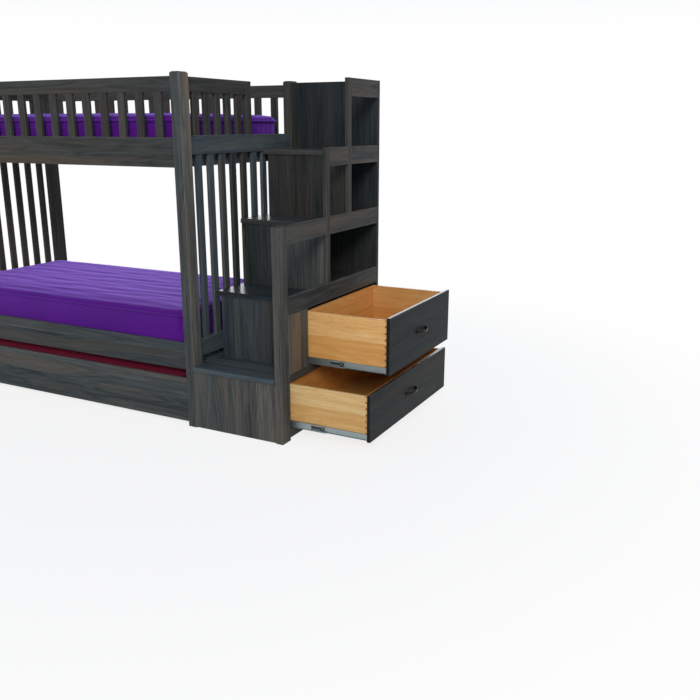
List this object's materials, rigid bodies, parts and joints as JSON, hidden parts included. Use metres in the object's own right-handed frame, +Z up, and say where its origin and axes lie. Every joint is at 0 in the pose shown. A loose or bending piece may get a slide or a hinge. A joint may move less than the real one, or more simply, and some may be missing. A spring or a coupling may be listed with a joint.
{
  "type": "bunk bed",
  "caption": "Stained wooden bunk bed with slatted ends, a drawer staircase at the foot, open cubbies in the stair's side and a rolling trundle under the lower bunk.",
  "frame": {"origin": "centre of the part's outline on the floor, with both drawers open as in the picture", "axes": "+X along the bed towards the staircase, +Y from the front towards the wall, +Z up"},
  "size_m": [3.052, 1.096, 1.78],
  "materials": {
    "stained_oak": "charcoal-grey stained oak under satin lacquer",
    "drawer_maple": "clear-lacquered honey-coloured hardwood",
    "drawer_plywood": "clear-lacquered plywood sheet",
    "deck_pine": "planed unfinished pine",
    "zinc_steel": "zinc-plated rolled steel",
    "black_plastic": "moulded black plastic",
    "bronze_pull": "dark bronze, satin",
    "grey_caster": "moulded dark grey plastic",
    "purple_ticking": "purple woven mattress cover",
    "red_ticking": "red woven mattress cover"
  },
  "bodies": {
    "bed_frame": {"stair_newel": "stained_oak", "stair_risers": "stained_oak", "stair_treads": "stained_oak", "stair_landing": "stained_oak", "stair_left_panel": "stained_oak", "stair_back_panel": "stained_oak", "stair_drawer_rails": "stained_oak", "stair_side_rails": "stained_oak", "stair_dividers": "stained_oak", "stair_filler_panel": "stained_oak", "cubby_floors": "stained_oak", "drawer_partition": "stained_oak", "front_right_post": "stained_oak", "back_right_post": "stained_oak", "front_left_post": "stained_oak", "back_left_post": "stained_oak", "right_end_rails": "stained_oak", "right_end_slats": "stained_oak", "left_end_rails": "stained_oak", "left_end_slats": "stained_oak", "lower_front_rail": "stained_oak", "lower_back_rail": "stained_oak", "upper_front_rail": "stained_oak", "upper_back_rail": "stained_oak", "guard_rails": "stained_oak", "guard_slats": "stained_oak", "entry_stile": "stained_oak", "ledgers": "stained_oak", "deck_slats": "deck_pine", "lower_mattress": "purple_ticking", "upper_mattress": "purple_ticking", "slide_cabinet_members": "zinc_steel"},
    "upper_drawer": {"upper_drawer_front": "stained_oak", "upper_drawer_sides": "drawer_maple", "upper_drawer_ends": "drawer_maple", "upper_drawer_bottom": "drawer_plywood", "upper_drawer_pull": "bronze_pull", "upper_drawer_members": "zinc_steel", "upper_release_levers": "black_plastic"},
    "upper_slide_mids": {"upper_mid_members": "zinc_steel"},
    "lower_drawer": {"lower_drawer_front": "stained_oak", "lower_drawer_sides": "drawer_maple", "lower_drawer_ends": "drawer_maple", "lower_drawer_bottom": "drawer_plywood", "lower_drawer_pull": "bronze_pull", "lower_drawer_members": "zinc_steel", "lower_release_levers": "black_plastic"},
    "lower_slide_mids": {"lower_mid_members": "zinc_steel"},
    "trundle": {"trundle_front": "stained_oak", "trundle_back": "stained_oak", "trundle_sides": "stained_oak", "trundle_cleat": "deck_pine", "trundle_slats": "deck_pine", "trundle_mattress": "red_ticking", "caster_forks": "zinc_steel"},
    "front_left_wheel": {"front_left_wheel": "grey_caster"},
    "back_left_wheel": {"back_left_wheel": "grey_caster"},
    "front_right_wheel": {"front_right_wheel": "grey_caster"},
    "back_right_wheel": {"back_right_wheel": "grey_caster"}
  },
  "joints": [
    {"name": "upper_drawer_slide", "type": "slide", "parent": "bed_frame", "child": "upper_drawer", "axis": [1, 0, 0], "range_m": [-0.455, 0.002]},
    {"name": "upper_mid_slide", "type": "slide", "parent": "bed_frame", "child": "upper_slide_mids", "axis": [1, 0, 0], "range_m": [-0.2275, 0.001]},
    {"name": "lower_drawer_slide", "type": "slide", "parent": "bed_frame", "child": "lower_drawer", "axis": [1, 0, 0], "range_m": [-0.443, 0.014]},
    {"name": "lower_mid_slide", "type": "slide", "parent": "bed_frame", "child": "lower_slide_mids", "axis": [1, 0, 0], "range_m": [-0.2215, 0.007]},
    {"name": "trundle_roll_out", "type": "slide", "parent": "bed_frame", "child": "trundle", "axis": [0, -1, 0], "range_m": [0, 0.9]},
    {"name": "front_left_wheel_spin", "type": "hinge", "parent": "trundle", "child": "front_left_wheel", "pos_m": [-1.446, -0.416, 0.025], "axis": [1, 0, 0], "continuous": true},
    {"name": "back_left_wheel_spin", "type": "hinge", "parent": "trundle", "child": "back_left_wheel", "pos_m": [-1.446, 0.355, 0.025], "axis": [1, 0, 0], "continuous": true},
    {"name": "front_right_wheel_spin", "type": "hinge", "parent": "trundle", "child": "front_right_wheel", "pos_m": [0.431, -0.416, 0.025], "axis": [1, 0, 0], "continuous": true},
    {"name": "back_right_wheel_spin", "type": "hinge", "parent": "trundle", "child": "back_right_wheel", "pos_m": [0.431, 0.355, 0.025], "axis": [1, 0, 0], "continuous": true}
  ],
  "couplings": [
    {"joint": "upper_mid_slide", "follows": "upper_drawer_slide", "ratio": 0.5},
    {"joint": "lower_mid_slide", "follows": "lower_drawer_slide", "ratio": 0.5}
  ]
}
